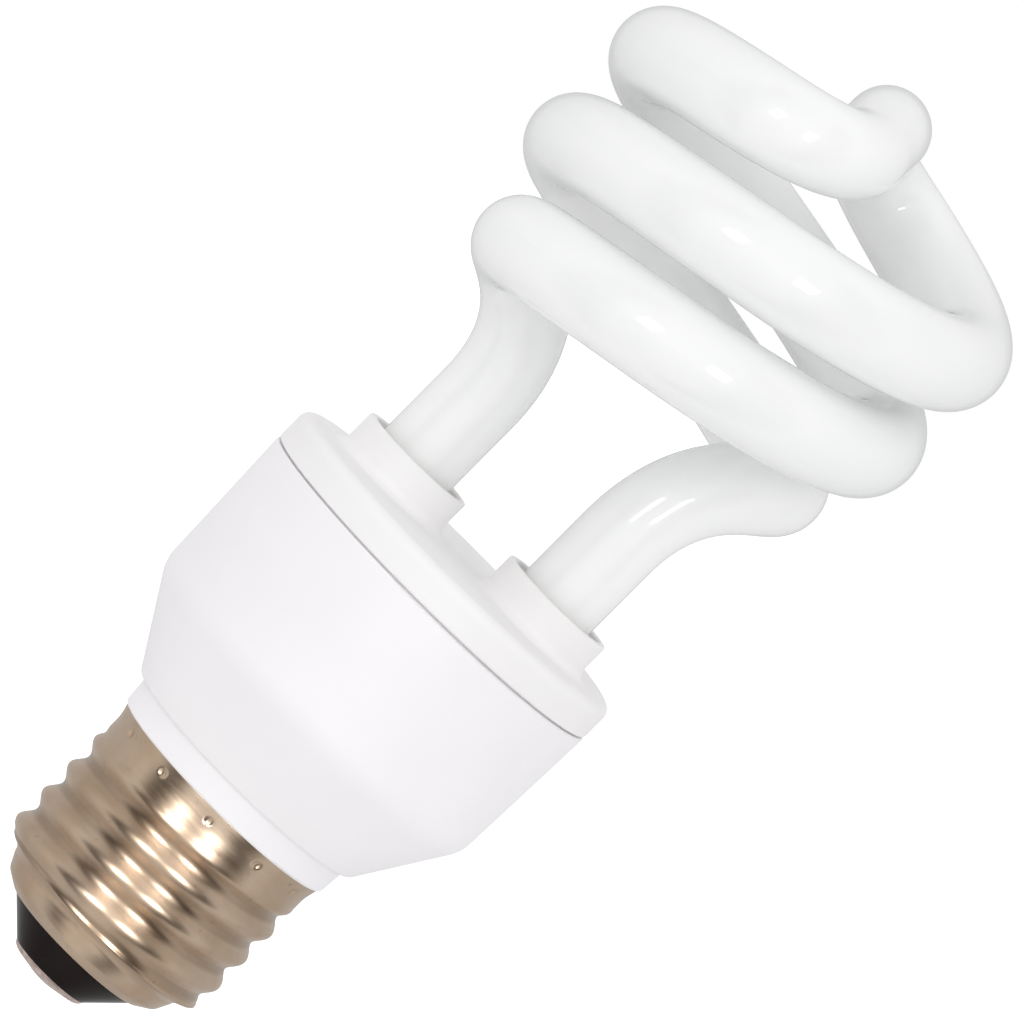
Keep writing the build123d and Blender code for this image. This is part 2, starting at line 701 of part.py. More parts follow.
# Wires from the board to the base
contact_run = [
    (0, 0, Z_SHELL),
    (0, 0, STEM_TOP + LEAD_LOW),
    (0, -lead_ring, STEM_TOP + LEAD_HIGH),
    (0, -lead_ring, LEAD_TOP),
]
holes.append((0, -lead_ring, LEAD_R + LEAD_FIT))
save("contact_lead", wire(LEAD_R, contact_run, LEAD_BEND))
shell_lead_z = SPIGOT_END - PIN_R - FIT
shell_run = [
    (0, lead_ring, LEAD_TOP),
    (0, lead_ring, shell_lead_z),
    (0, BAND_R - SHEET - FIT / 2, shell_lead_z),
]
holes.append((0, lead_ring, PIN_R + LEAD_FIT))
save("shell_lead", wire(PIN_R, shell_run, SHELL_LEAD_BEND))

# Board last, drilled for every lead
board_r = inner_r(Z_PARTS) - FIT
circuit_board = rod(board_r, Z_PARTS, Z_BOARD)
for x, y, radius in holes:
    circuit_board -= rod(radius, Z_PARTS - OVERCUT, Z_BOARD + OVERCUT, x, y)
save("circuit_board", circuit_board)
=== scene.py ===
# %% [markdown]
# # A spiral compact fluorescent bulb
# The bulb is a bent glass tube standing in a white moulded housing, on a nickel-plated screw base. Its solid
# model is already the right size, so this lesson loads that model as a fixed frame and spends its effort on
# the finish. Two pieces, the tube and the metal shell, are skinned again with forms that are too small for
# the solid model. Then come the coated glass, the moulded plastic, the rolled metal and the studio light.

# %% Load the frame
import json
import math

import bmesh
import bpy
import numpy as np
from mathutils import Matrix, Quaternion, Vector


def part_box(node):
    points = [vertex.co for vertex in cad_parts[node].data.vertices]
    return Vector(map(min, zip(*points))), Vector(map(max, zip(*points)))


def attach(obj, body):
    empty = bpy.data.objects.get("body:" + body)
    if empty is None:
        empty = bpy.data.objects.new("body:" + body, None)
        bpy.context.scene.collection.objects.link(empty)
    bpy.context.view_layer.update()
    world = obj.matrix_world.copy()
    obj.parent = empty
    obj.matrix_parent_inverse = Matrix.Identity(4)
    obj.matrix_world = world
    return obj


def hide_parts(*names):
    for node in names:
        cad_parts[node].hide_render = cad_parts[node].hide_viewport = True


# A millimetre in Blender's metres
MM = 0.001

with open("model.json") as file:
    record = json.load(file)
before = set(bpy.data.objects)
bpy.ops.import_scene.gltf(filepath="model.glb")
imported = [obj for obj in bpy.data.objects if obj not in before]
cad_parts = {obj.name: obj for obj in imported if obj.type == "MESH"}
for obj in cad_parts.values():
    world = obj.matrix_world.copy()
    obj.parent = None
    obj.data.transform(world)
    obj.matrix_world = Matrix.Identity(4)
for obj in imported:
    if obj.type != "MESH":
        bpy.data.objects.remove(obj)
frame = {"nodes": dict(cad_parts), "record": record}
scene = bpy.context.scene
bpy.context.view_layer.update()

# %% [markdown]
# Blender works in metres and linear light, and the bulb was measured in millimetres and sRGB colours. Two
# small helpers keep those changes in one place, so every size and colour below can be written as it was read.
# Two more start a material and add a shader node with its settings and links, which keeps each material short
# enough to read.

# %% Units, colours and nodes
def paint(code):
    """Linear RGBA of an sRGB hex colour: ((c + 0.055) / 1.055) to the power 2.4, or c / 12.92 where dark."""
    channels = np.array([int(code[i:i + 2], 16) for i in (1, 3, 5)]) / 255
    linear = np.where(channels > 0.04045, ((channels + 0.055) / 1.055) ** 2.4, channels / 12.92)
    return (*linear.tolist(), 1.0)


def per(size):
    """Pattern scale, in repeats per metre, for features of a size in millimetres."""
    return 1 / (size * MM)


def add(tree, kind, settings=None, inputs=None):
    """Add a node, set its own properties, and give each input a value or a link from another socket."""
    node = tree.nodes.new(kind)
    for key, value in (settings or {}).items():
        setattr(node, key, value)
    for key, value in (inputs or {}).items():
        if isinstance(value, bpy.types.NodeSocket):
            tree.links.new(value, node.inputs[key])
        else:
            node.inputs[key].default_value = value
    return node


def new_material(name):
    """Empty node material, and the tree to build it in."""
    material = bpy.data.materials.new(name)
    material.use_nodes = True
    material.node_tree.nodes.clear()
    return material, material.node_tree


# %% [markdown]
# Each new surface is a grid of points: rows follow the piece along its length, and each row goes once round
# it. A loop over vertices would be slow and hard to check, so the grid is one array, and the quads are made
# by shifting its index array by one row and one column. The UV map is in metres along and around the surface,
# so a pattern that follows the piece keeps its true size.

# %% Skin a grid
# Points closer than this, in metres, become one
MERGE = 1e-7


def skin(name, grid, along, around):
    """Closed skin: quad (i, j) joins rows i, i + 1 and columns j, j + 1, and the last column meets the first.

    along gives each row's distance in metres and around each row's girth. A row that shrinks to a point is
    merged, and so are a first and a last row in the same place.
    """
    rows, columns = grid.shape[:2]
    index = np.arange(rows * columns).reshape(rows, columns)
    ahead = np.roll(index, -1, axis=1)
    quads = np.stack([index[:-1], ahead[:-1], ahead[1:], index[1:]], axis=-1).reshape(-1, 4)
    mesh = bpy.data.meshes.new(name)
    mesh.from_pydata(grid.reshape(-1, 3).tolist(), [], quads.tolist())
    turn = np.arange(columns + 1) / columns
    u = np.repeat(along[:, None], columns + 1, axis=1)
    v = around[:, None] * turn[None, :]
    corners = [(slice(None, -1), slice(None, -1)), (slice(None, -1), slice(1, None)),
               (slice(1, None), slice(1, None)), (slice(1, None), slice(None, -1))]
    flat = np.stack([np.stack([u[c], v[c]], axis=-1) for c in corners], axis=2)
    layer = mesh.uv_layers.new(name="surface")
    layer.data.foreach_set("uv", flat.ravel().astype(np.float32))
    work = bmesh.new()
    work.from_mesh(mesh)
    bmesh.ops.remove_doubles(work, verts=work.verts, dist=MERGE)
    bmesh.ops.recalc_face_normals(work, faces=work.faces)
    work.to_mesh(mesh)
    work.free()
    mesh.shade_smooth()
    piece = bpy.data.objects.new(name, mesh)
    scene.collection.objects.link(piece)
    print(name, "faces:", len(mesh.polygons))
    return piece


# %% [markdown]
# ## The glass tube
# The tube is drawn glass, bent hot into a right-handed double spiral. Two legs stand in the housing, each
# runs into its own strand of the spiral, and the strands meet in a bridge over the top. Half of it is worked
# out here: a straight leg, a soft bend, one turn of a helix, and the climb to the bridge. Half a turn about
# the bulb's axis gives the other half. A curve with a bevel could do this too, but the radius changes along
# the way, because the glass is drawn thinner at the legs and the bridge, and an array makes that plain.

# %% Tube sizes, in millimetres
LEG_X = 9.9
LEG_R = 4.45
TUBE_R = 4.8
BRIDGE_R = 4.4
COIL_R = 20.8
COIL_LEAD = 23.7
COIL_START = math.radians(55.1)
COIL_SWEEP = math.radians(358.6)
LOW_RISE = 15.75
LOW_PULLS = (15.0, 12.5)
HIGH_PULLS = (11.0, 7.0)
ARCH_PULLS = (5.0, 5.0)
BRIDGE_TURN = math.radians(98.7)
ARCH_REACH = 11.0
ARCH_RISE = 5.3
ARCH_SLOPE = math.radians(18)
BRIDGE_RISE = 7.7

# The frame gives the ends: the legs' seats and the top of the bridge
tube_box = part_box("spiral_tube")
LEG_LOW = tube_box[0].z / MM
CROWN_Z = tube_box[1].z / MM - BRIDGE_R
BRIDGE_Z = CROWN_Z - BRIDGE_RISE
COIL_LOW = BRIDGE_Z - COIL_LEAD * COIL_SWEEP / (2 * math.pi)
LEG_HIGH = COIL_LOW - LOW_RISE
print("coil from", round(COIL_LOW, 1), "to", round(BRIDGE_Z, 1), "mm up")


# %% Helix and bends
def coil(angle):
    """Helix: radius COIL_R round Z, rising COIL_LEAD each turn."""
    rise = COIL_LOW + COIL_LEAD * (angle - COIL_START) / (2 * np.pi)
    return np.stack([COIL_R * np.cos(angle), COIL_R * np.sin(angle), rise], axis=-1)


def coil_heading(angle):
    """Unit tangent of the helix."""
    climb = COIL_LEAD / (2 * np.pi)
    return np.array([-COIL_R * np.sin(angle), COIL_R * np.cos(angle), climb]) / math.hypot(COIL_R, climb)


def soft_bend(start, heading, end, end_heading, pulls, t):
    """Cubic bend s3 A + 3 s2 t B + 3 s t2 C + t3 D: s = 1 - t, and B and C are pulled along the headings."""
    b = start + heading * pulls[0]
    c = end - end_heading * pulls[1]
    t = t[:, None]
    s = 1 - t
    return s**3 * start + 3 * s * s * t * b + 3 * s * t * t * c + t**3 * end


def ease(t):
    """Ease from 0 to 1: three t squared less two t cubed, held level outside."""
    t = np.clip(t, 0, 1)
    return t * t * (3 - 2 * t)


# %% Middle line of the tube
RUN_STEPS = 400

steps = np.linspace(0, 1, RUN_STEPS)
up = np.array([0.0, 0.0, 1.0])
leg_low = np.array([LEG_X, 0, LEG_LOW])
leg_high = np.array([LEG_X, 0, LEG_HIGH])
coil_end = COIL_START + COIL_SWEEP
inward = -np.array([math.cos(BRIDGE_TURN), math.sin(BRIDGE_TURN), 0])
arch_heading = inward * math.cos(ARCH_SLOPE) + up * math.sin(ARCH_SLOPE)
arch = up * (BRIDGE_Z + ARCH_RISE) - inward * ARCH_REACH
crown = up * CROWN_Z
low_join = coil(np.array(COIL_START))
high_join = coil(np.array(coil_end))
runs = [
    leg_low + (leg_high - leg_low) * steps[:, None],
    soft_bend(leg_high, up, low_join, coil_heading(COIL_START), LOW_PULLS, steps),
    coil(COIL_START + COIL_SWEEP * steps),
    soft_bend(high_join, coil_heading(coil_end), arch, arch_heading, HIGH_PULLS, steps),
    soft_bend(arch, arch_heading, crown, inward, ARCH_PULLS, steps),
]
radii = [
    np.full(RUN_STEPS, LEG_R),
    LEG_R + (TUBE_R - LEG_R) * ease(steps),
    np.full(RUN_STEPS, TUBE_R),
    TUBE_R + (BRIDGE_R - TUBE_R) * ease(steps),
    np.full(RUN_STEPS, BRIDGE_R),
]
# 0 asks for a section framed by the bulb's axis, 1 for one framed by the vertical
by_axis, by_vertical = np.zeros(RUN_STEPS), np.ones(RUN_STEPS)
tilts = [by_axis, by_axis, by_axis, ease(steps), by_vertical]
half_line = np.concatenate(runs)
half_radius = np.concatenate(radii)
half_tilt = np.concatenate(tilts)
half_length = np.linalg.norm(np.diff(half_line, axis=0), axis=1).sum()
print("half of the tube, mm:", round(float(half_length), 1))

# %% [markdown]
# The rings of glass stand square to that line. Each needs two directions across it. On the legs and the
# spiral the direction away from the bulb's axis works; on the bridge the line runs straight at the axis, so
# there the vertical takes over, eased in along the bend before it. Hand-bent glass is never quite round, so
# the section goes a few hundredths of a millimetre oval and the wall ripples a little along its length.

# %% Rings of glass
RING_STEP = 0.55
RING_SIDES = 72
HALF_TURN = np.array([-1.0, -1.0, 1.0])
FLATTEN = np.array([1.0, 1.0, 0.0])
AXIS_GUARD = 1e-6
OVAL = 0.006
OVAL_MEAN = 0.4
OVAL_SWING = 0.6
OVAL_LENGTH = 23.0
RIPPLE = 0.0025
RIPPLE_LENGTH = 17.0
BEAT_LENGTH = 61.0
BEAT_START = 0.7


def even_line(line, extra, step):
    """Resample a polyline at even distances: each coordinate is interpolated over the length run so far."""
    length = np.concatenate([[0], np.cumsum(np.linalg.norm(np.diff(line, axis=0), axis=1))])
    at = np.linspace(0, length[-1], int(length[-1] / step) + 1)
    columns = [np.interp(at, length, column) for column in line.T]
    return np.stack(columns, axis=-1), [np.interp(at, length, e) for e in extra], at


def unit(vectors):
    """Vectors scaled to length one."""
    return vectors / np.linalg.norm(vectors, axis=-1, keepdims=True)


line = np.concatenate([half_line, half_line[::-1][1:] * HALF_TURN])
radius = np.concatenate([half_radius, half_radius[::-1][1:]])
tilt = np.concatenate([half_tilt, half_tilt[::-1][1:]])
line, (radius, tilt), run = even_line(line, [radius, tilt], RING_STEP)
heading = unit(np.gradient(line, axis=0))
outward = line * FLATTEN
outward = outward / np.maximum(np.linalg.norm(outward, axis=1, keepdims=True), AXIS_GUARD)
across = outward * (1 - tilt[:, None]) + up * tilt[:, None]
across = unit(across - heading * np.sum(across * heading, axis=1, keepdims=True))
beside = np.cross(heading, across)
bearing = np.linspace(0, 2 * np.pi, RING_SIDES, endpoint=False)
beat = np.sin(2 * np.pi * run / BEAT_LENGTH + BEAT_START)
swell = 1 + RIPPLE * np.sin(2 * np.pi * run / RIPPLE_LENGTH) * beat
oval = OVAL_MEAN + OVAL_SWING * np.sin(run / OVAL_LENGTH)
shape = swell[:, None] - OVAL * np.cos(2 * bearing)[None, :] * oval[:, None]
spoke = (across[:, None, :] * np.cos(bearing)[None, :, None]
         + beside[:, None, :] * np.sin(bearing)[None, :, None])
rings = line[:, None, :] + radius[:, None, None] * shape[:, :, None] * spoke
print("rings:", len(rings))

# %% Closed ends
END_ROUND = 0.9
END_ROWS = 7
END_CLEAR = 0.2


def closed_end(ring, centre, outwards):
    """Rows from a ring in to its centre: a quarter turn of radius END_ROUND, then the flat to a point."""
    turn = np.linspace(0, np.pi / 2, END_ROWS)[1:]
    spread = ring - centre
    size = np.linalg.norm(spread, axis=1).mean()
    shrink = (size - END_ROUND * (1 - np.cos(turn))) / size
    reach = outwards * (END_ROUND * np.sin(turn))[:, None, None]
    rows = centre + spread[None] * shrink[:, None, None] + reach
    tip = np.broadcast_to(centre + outwards * END_ROUND, ring.shape)
    return np.concatenate([rows, tip[None]])


lift = up * END_ROUND
first_end = closed_end(rings[0] + lift, line[0] + lift, -up)[::-1]
last_end = closed_end(rings[-1] + lift, line[-1] + lift, -up)
keep = line[:, 2] > LEG_LOW + END_ROUND + END_CLEAR
tube_grid = np.concatenate([first_end, rings[keep], last_end])
open_run = run[keep]
first_run = np.full(len(first_end), open_run[0])
last_run = np.full(len(last_end), open_run[-1])
tube_run = np.concatenate([first_run, open_run, last_run])
girth = np.full(len(tube_grid), 2 * np.pi * TUBE_R * MM)
glass_tube = skin("glass_tube", tube_grid * MM, tube_run * MM, girth)
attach(glass_tube, "root")
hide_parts("spiral_tube")

# %% [markdown]
# ## The rolled shell
# The shell is thin brass, drawn to a cup, rolled between two shaped wheels and then staked to the housing
# with a row of dimples. Its thread is made of circles: there is one at each level, and its centre runs round
# a small helix, so the wall swings out and in once a turn. Rolling also leaves a bead above the shoulder and
# a slight flare at the rim. They are too small for the solid model but they catch the light, so the sheet is
# skinned again with them: up its outside, over the rim and down its inside, as one closed grid.

# %% Shell sizes, in millimetres
SHEET = 0.35
MOUTH_R = 8.5
BEND_R = 10.05
BEND_RISE = 1.016
SHOULDER_R = 10.8
SHOULDER_RISE = 2.54
MOUTH_PULL = 0.09
BEND_PULL = 0.33
MEAN_R = 12.59
SWING = 0.47
PITCH = 3.63
THREAD_RUN = 15.2
THREAD_IN = 2.0
THREAD_OUT = 1.5
CREST_RISE = 4.3
BAND_R = 12.75
BEAD = {"level": 8.45, "half": 0.5, "rise": 0.4}
FLARE = {"level": 26.2, "half": 2.7, "rise": 0.45}
DIMPLES = 12
DIMPLE_R = 0.7
DIMPLE_DEPTH = 0.22
DIMPLE_DROP = 1.2
DIMPLE_START = math.radians(-78)

# The frame gives the mouth and the rim
shell_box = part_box("screw_shell")
SHELL_LOW = shell_box[0].z / MM
SHELL_TOP = shell_box[1].z / MM
THREAD_LOW = SHELL_LOW + SHOULDER_RISE
THREAD_TOP = THREAD_LOW + THREAD_RUN
print("thread from", round(THREAD_LOW, 1), "to", round(THREAD_TOP, 1), "mm up")


# %% Forms of the shell
def wall(level):
    """Radius of the circle at each level and the swing of its centre.

    Both are eased in from the shoulder and out again to the plain band.
    """
    into = ease((level - THREAD_LOW) / THREAD_IN)
    out = ease((THREAD_TOP - level) / THREAD_OUT)
    start = SHOULDER_R + (MEAN_R - SHOULDER_R) * into
    return BAND_R + (start - BAND_R) * out, SWING * into * out


def ring_height(ring, level):
    """Height of a rolled ring: its rise, eased away over its half width to either side of its level."""
    return ring["rise"] * ease(1 - np.abs(level - ring["level"]) / ring["half"])


def pits(level, angle):
    """Depth of the dimples: the part of a ball of radius DIMPLE_R that dips DIMPLE_DEPTH into the wall."""
    gap = 2 * np.pi / DIMPLES
    aside = ((angle - DIMPLE_START + gap / 2) % gap - gap / 2) * BAND_R
    away = aside[None, :] ** 2 + (level[:, None] - SHELL_TOP + DIMPLE_DROP) ** 2
    return np.maximum(np.sqrt(np.maximum(DIMPLE_R ** 2 - away, 0)) - DIMPLE_R + DIMPLE_DEPTH, 0)


def corner(before, at, after, pull, count):
    """Rounded corner: a parabola from pull before a point to pull after it, as rows of radius and level."""
    before, at, after = (np.array(p, float) for p in (before, at, after))
    first = at + (before - at) * pull / np.linalg.norm(before - at)
    last = at + (after - at) * pull / np.linalg.norm(after - at)
    t = np.linspace(0, 1, count)[:, None]
    return first * (1 - t) ** 2 + at * 2 * t * (1 - t) + last * t ** 2


# %% Profile of the shell, from its mouth up the outside and back down the inside
# A row this close to an edge, in millimetres, keeps the edge crisp under smooth shading
CRISP = 0.02
MOUTH_ROWS = 5
BEND_ROWS = 9
THREAD_ROWS = 96
BAND_ROWS = 24
INNER_ROWS = 47

mouth = (MOUTH_R, SHELL_LOW)
bend = (BEND_R, SHELL_LOW + BEND_RISE)
shoulder = (SHOULDER_R, THREAD_LOW)
inner_mouth = (MOUTH_R - SHEET, SHELL_LOW)
low_path = np.concatenate([
    [inner_mouth, (MOUTH_R - SHEET + CRISP, SHELL_LOW)],
    corner(inner_mouth, mouth, bend, MOUTH_PULL, MOUTH_ROWS),
    corner(mouth, bend, shoulder, BEND_PULL, BEND_ROWS),
])
thread_levels = np.linspace(THREAD_LOW, THREAD_TOP, THREAD_ROWS)
band_levels = np.append(np.linspace(THREAD_TOP, SHELL_TOP - CRISP, BAND_ROWS)[1:], SHELL_TOP)
outer_levels = np.concatenate([thread_levels, band_levels])
inner_levels = np.linspace(SHELL_TOP, THREAD_LOW, INNER_ROWS)
end_path = np.array([
    (BEND_R - SHEET, SHELL_LOW + BEND_RISE + SHEET),
    (MOUTH_R - SHEET, SHELL_LOW + SHEET),
    inner_mouth,
])
outer_radius, outer_swing = wall(outer_levels)
outer_radius = outer_radius + ring_height(BEAD, outer_levels) + ring_height(FLARE, outer_levels)
inner_radius, inner_swing = wall(inner_levels)
level = np.concatenate([low_path[:, 1], outer_levels, inner_levels, end_path[:, 1]])
radius = np.concatenate([low_path[:, 0], outer_radius, inner_radius - SHEET, end_path[:, 0]])
swing = np.concatenate([0 * low_path[:, 0], outer_swing, inner_swing, 0 * end_path[:, 0]])
print("rows of the shell:", len(level))

# %% Shell surface
SHELL_SIDES = 432

angle = DIMPLE_START + np.linspace(0, 2 * np.pi, SHELL_SIDES, endpoint=False)
depth = pits(level, angle)
# The dimples are pressed in from outside, and the inner wall stays plain
depth[len(low_path) + len(outer_levels):] = 0
helix = 2 * np.pi * (level - THREAD_LOW - CREST_RISE) / PITCH
dented = radius[:, None] - depth
shell_grid = np.stack([
    swing[:, None] * np.cos(helix)[:, None] + dented * np.cos(angle),
    swing[:, None] * np.sin(helix)[:, None] + dented * np.sin(angle),
    np.repeat(level[:, None], SHELL_SIDES, axis=1),
], axis=-1)
lengths = np.hypot(np.diff(radius), np.diff(level))
shell_run = np.concatenate([[0], np.cumsum(lengths)])
rolled_shell = skin("rolled_shell", shell_grid * MM, shell_run * MM, 2 * np.pi * radius * MM)
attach(rolled_shell, "root")
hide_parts("screw_shell")
print("across the crests, mm:", round(2 * np.hypot(shell_grid[..., 0], shell_grid[..., 1]).max(), 2))

# %% [markdown]
# ## Coated glass
# The tube is clear soda glass with white phosphor powder on its inside. The eye sees a matt, nearly white
# powder under a smooth clear wall: a diffuse base under a full clear coat. The wall is slightly green, which
# shows as a thin line where it is seen edge on, so a facing weight brings the tint in there. The powder was
# washed down the tube as a slurry and drained, so it is a little thicker and thinner in streaks along the
# tube, drawn from its UV map.

# %% Glass material
STREAK_WIDTH = 4
STREAK_STRETCH = 0.15
CLOUD_WIDTH = 16
WAVE_WIDTH = 7
WAVE_HEIGHT = 0.02
EDGE_FROM = 0.76
EDGE_TO = 0.97
EDGE_TINT = 0.45


def coated_glass():
    """Phosphor powder under a clear, faintly green glass wall. Widths and heights are in millimetres."""
    material, tree = new_material("phosphor_coated_soda_glass")
    place = add(tree, "ShaderNodeTexCoord")
    stretch = add(tree, "ShaderNodeMapping",
                  inputs={"Vector": place.outputs["UV"], "Scale": (STREAK_STRETCH, 1, 1)})
    streaks = add(tree, "ShaderNodeTexNoise",
                  inputs={"Vector": stretch.outputs[0], "Scale": per(STREAK_WIDTH), "Detail": 3})
    clouds = add(tree, "ShaderNodeTexNoise",
                 inputs={"Vector": place.outputs["Object"], "Scale": per(CLOUD_WIDTH), "Detail": 2})
    both = add(tree, "ShaderNodeMath", {"operation": "MULTIPLY"},
               {0: streaks.outputs[0], 1: clouds.outputs[0]})
    spread = add(tree, "ShaderNodeMapRange",
                 inputs={"Value": both.outputs[0], "From Min": 0.12, "From Max": 0.42})
    powder = add(tree, "ShaderNodeMix", {"data_type": "RGBA"},
                 {"Factor": spread.outputs[0], "A": paint("#F6F5F5"), "B": paint("#F1F1F1")})
    facing = add(tree, "ShaderNodeLayerWeight", inputs={"Blend": 0.5})
    edge = add(tree, "ShaderNodeMapRange", inputs={
        "Value": facing.outputs["Facing"], "From Min": EDGE_FROM, "From Max": EDGE_TO, "To Max": EDGE_TINT,
    })
    walled = add(tree, "ShaderNodeMix", {"data_type": "RGBA"},
                 {"Factor": edge.outputs[0], "A": powder.outputs["Result"], "B": paint("#A9B8B4")})
    wave = add(tree, "ShaderNodeTexNoise",
               inputs={"Vector": stretch.outputs[0], "Scale": per(WAVE_WIDTH), "Detail": 1})
    ripple = add(tree, "ShaderNodeBump",
                 inputs={"Strength": 0.25, "Distance": WAVE_HEIGHT * MM, "Height": wave.outputs[0]})
    shader = add(tree, "ShaderNodeBsdfPrincipled", inputs={
        "Base Color": walled.outputs["Result"], "Roughness": 0.6, "IOR": 1.5, "Specular IOR Level": 0.2,
        "Coat Weight": 1.0, "Coat Roughness": 0.05, "Coat IOR": 1.5, "Coat Tint": paint("#FEFFFF"),
        "Coat Normal": ripple.outputs[0],
    })
    add(tree, "ShaderNodeOutputMaterial", inputs={"Surface": shader.outputs[0]})
    return material


# %% [markdown]
# ## Moulded plastic
# The housing and its lid are white polyester, moulded in a spark-eroded tool, which leaves a fine, even grain
# that turns the gloss to satin. White plastic is never one colour: it is a touch warmer where it flowed
# thick, and the grain holds a little dust. The housing is faintly lilac beside the lid's cleaner white. The
# real grain is about a tenth of a millimetre, too fine to show, so it is drawn over three times as coarse.

# %% Plastic material
FLOW_WIDTH = 22
GRAIN_WIDTH = 0.35
GRAIN_HEIGHT = 0.012
GLOSS_LESS = 0.04
GLOSS_MORE = 0.06


def moulded(name, light, shade, rough):
    """Satin moulded plastic: two close whites in broad clouds, and an even grain GRAIN_WIDTH mm across."""
    material, tree = new_material(name)
    place = add(tree, "ShaderNodeTexCoord")
    clouds = add(tree, "ShaderNodeTexNoise",
                 inputs={"Vector": place.outputs["Object"], "Scale": per(FLOW_WIDTH), "Detail": 4})
    spread = add(tree, "ShaderNodeMapRange",
                 inputs={"Value": clouds.outputs[0], "From Min": 0.35, "From Max": 0.7})
    white = add(tree, "ShaderNodeMix", {"data_type": "RGBA"},
                {"Factor": spread.outputs[0], "A": paint(light), "B": paint(shade)})
    grain = add(tree, "ShaderNodeTexNoise",
                inputs={"Vector": place.outputs["Object"], "Scale": per(GRAIN_WIDTH), "Detail": 2})
    satin = add(tree, "ShaderNodeMapRange", inputs={
        "Value": clouds.outputs[0], "To Min": rough - GLOSS_LESS, "To Max": rough + GLOSS_MORE,
    })
    bump = add(tree, "ShaderNodeBump",
               inputs={"Strength": 0.35, "Distance": GRAIN_HEIGHT * MM, "Height": grain.outputs[0]})
    shader = add(tree, "ShaderNodeBsdfPrincipled", inputs={
        "Base Color": white.outputs["Result"], "Roughness": satin.outputs[0], "IOR": 1.5,
        "Normal": bump.outputs[0],
    })
    add(tree, "ShaderNodeOutputMaterial", inputs={"Surface": shader.outputs[0]})
    return material


# %% [markdown]
# ## Nickel-plated shell
# The shell is thin brass strip, drawn, rolled with its thread and then nickel plated. Rolling leaves fine
# lines round it, so the noise is squeezed along the axis, and they draw the gloss out along it. The real
# lines are finer than a pixel, so they are drawn coarser, to show. Nickel is warmer than chrome, and this one
# has dulled to beige and is spotted where it is thin. The thread's valleys are painted darker, as painted
# shade.

# %% Nickel material
LINE_WIDTH = 0.4
LINE_HEIGHT = 0.035
LINE_STRETCH = 0.1
TARNISH_WIDTH = 5
SPOT_WIDTH = 0.7
VALLEY_R = 12.13
VALLEY_HALF = 0.3
VALLEY_SHADE = 0.42


def nickel():
    """Rolled, plated metal: lines round the axis in gloss and height, and gloss drawn out along the axis.

    The painted valley shade is deepest VALLEY_R mm from the axis and eases away VALLEY_HALF mm to either
    side.
    """
    material, tree = new_material("nickel_plated_brass")
    place = add(tree, "ShaderNodeTexCoord")
    squeeze = add(tree, "ShaderNodeMapping",
                  inputs={"Vector": place.outputs["Object"], "Scale": (LINE_STRETCH, LINE_STRETCH, 1)})
    lines = add(tree, "ShaderNodeTexNoise",
                inputs={"Vector": squeeze.outputs[0], "Scale": per(LINE_WIDTH), "Detail": 3})
    clouds = add(tree, "ShaderNodeTexNoise",
                 inputs={"Vector": place.outputs["Object"], "Scale": per(TARNISH_WIDTH), "Detail": 4})
    warm = add(tree, "ShaderNodeMapRange",
               inputs={"Value": clouds.outputs[0], "From Min": 0.35, "From Max": 0.75})
    plate = add(tree, "ShaderNodeMix", {"data_type": "RGBA"},
                {"Factor": warm.outputs[0], "A": paint("#CDB8A2"), "B": paint("#BFA68D")})
    specks = add(tree, "ShaderNodeTexNoise",
                 inputs={"Vector": place.outputs["Object"], "Scale": per(SPOT_WIDTH), "Detail": 1})
    spots = add(tree, "ShaderNodeMapRange",
                inputs={"Value": specks.outputs[0], "From Min": 0.68, "From Max": 0.9, "To Max": 0.5})
    colour = add(tree, "ShaderNodeMix", {"data_type": "RGBA"},
                 {"Factor": spots.outputs[0], "A": plate.outputs["Result"], "B": paint("#8E7259")})
    flat = add(tree, "ShaderNodeMapping", inputs={"Vector": place.outputs["Object"], "Scale": (1, 1, 0)})
    reach = add(tree, "ShaderNodeVectorMath", {"operation": "LENGTH"}, {0: flat.outputs[0]})
    rise = add(tree, "ShaderNodeMath", {"operation": "SUBTRACT"},
               {0: reach.outputs["Value"], 1: VALLEY_R * MM})
    off = add(tree, "ShaderNodeMath", {"operation": "ABSOLUTE"}, {0: rise.outputs[0]})
    # Painted shade in the thread's valleys: near VALLEY_R from the axis the colour is mixed towards a darker
    # brown
    valley_shade = add(tree, "ShaderNodeMapRange", {"interpolation_type": "SMOOTHSTEP"}, {
        "Value": off.outputs[0], "From Max": VALLEY_HALF * MM, "To Min": VALLEY_SHADE, "To Max": 0.0,
    })
    valley_shaded = add(tree, "ShaderNodeMix", {"data_type": "RGBA"},
                 {"Factor": valley_shade.outputs[0], "A": colour.outputs["Result"], "B": paint("#7F6A58")})
    rough = add(tree, "ShaderNodeMapRange", inputs={
        "Value": lines.outputs[0], "From Min": 0.3, "From Max": 0.7, "To Min": 0.3, "To Max": 0.38,
    })
    bump = add(tree, "ShaderNodeBump",
               inputs={"Strength": 0.5, "Distance": LINE_HEIGHT * MM, "Height": lines.outputs[0]})
    round_axis = add(tree, "ShaderNodeTangent", {"direction_type": "RADIAL", "axis": "Z"})
    shader = add(tree, "ShaderNodeBsdfPrincipled", inputs={
        "Base Color": valley_shaded.outputs["Result"], "Metallic": 1.0, "Roughness": rough.outputs[0],
        "Anisotropic": 0.7, "Anisotropic Rotation": 0.25, "Tangent": round_axis.outputs[0],
        "Normal": bump.outputs[0],
    })
    add(tree, "ShaderNodeOutputMaterial", inputs={"Surface": shader.outputs[0]})
    return material


# %% [markdown]
# ## The other finishes
# Everything else shares one recipe: two close colours in grains of a real size, a gloss that varies with
# them, and a shallow bump. The black glass of the insulator, the soldered contact, the cement in the sleeves
# and the parts on the ballast board differ only in those numbers, so they are rows of a table. The insulator
# mirrors hardly anything, so its glass has a low IOR.

# %% Grained materials
GLOSS_SHARES = (0.7, 1.3)


